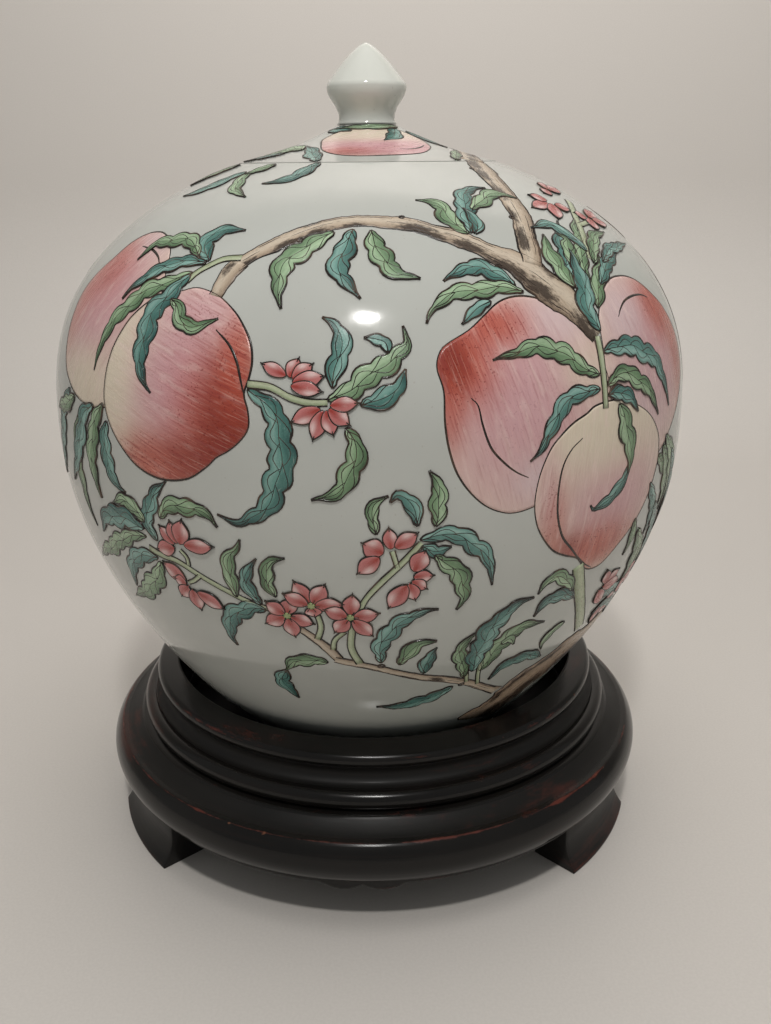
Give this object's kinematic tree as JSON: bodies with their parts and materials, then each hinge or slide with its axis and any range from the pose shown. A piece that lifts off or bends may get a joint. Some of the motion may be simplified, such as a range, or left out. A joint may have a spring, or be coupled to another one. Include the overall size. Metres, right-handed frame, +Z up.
{
  "type": "ginger jar",
  "caption": "Round covered porcelain jar painted with peaches and blossom, with a low lid and pointed bud knob, standing in a turned dark lacquered wooden stand with feet",
  "frame": {"origin": "centre of the stand's footprint on the table, on the jar's axis", "axes": "+Z up along the jar's axis, -Y is the painted front, +X to the right of it"},
  "size_m": [0.25, 0.25, 0.3095],
  "materials": {
    "jar_porcelain": "glossy pale celadon-white glaze with raised enamel painting",
    "lid_porcelain": "glossy pale celadon-white glaze with raised enamel painting",
    "finial_porcelain": "glossy pale celadon-white glaze",
    "collar_lacquer": "black lacquer, satin, rubbed red-brown on the edges",
    "ring_lacquer": "black lacquer, satin, rubbed red-brown on the edges",
    "panel_lacquer": "black lacquer, dull",
    "foot_lacquer": "black lacquer, satin",
    "dowel_wood": "bare wood"
  },
  "bodies": {
    "stand": {"stand_ring": "ring_lacquer", "stand_collar": "collar_lacquer", "stand_panel": "panel_lacquer", "stand_foot_left": "foot_lacquer", "stand_foot_right": "foot_lacquer", "stand_foot_back": "foot_lacquer", "foot_dowels": "dowel_wood"},
    "jar": {"jar_body": "jar_porcelain"},
    "lid": {"lid": "lid_porcelain", "lid_finial": "finial_porcelain"}
  },
  "joints": [
    {"name": "jar_lift", "type": "slide", "parent": "stand", "child": "jar", "axis": [0, 0, 1], "range_m": [0, 0.1]},
    {"name": "lid_lift", "type": "slide", "parent": "jar", "child": "lid", "axis": [0, 0, 1], "range_m": [0, 0.07]}
  ]
}
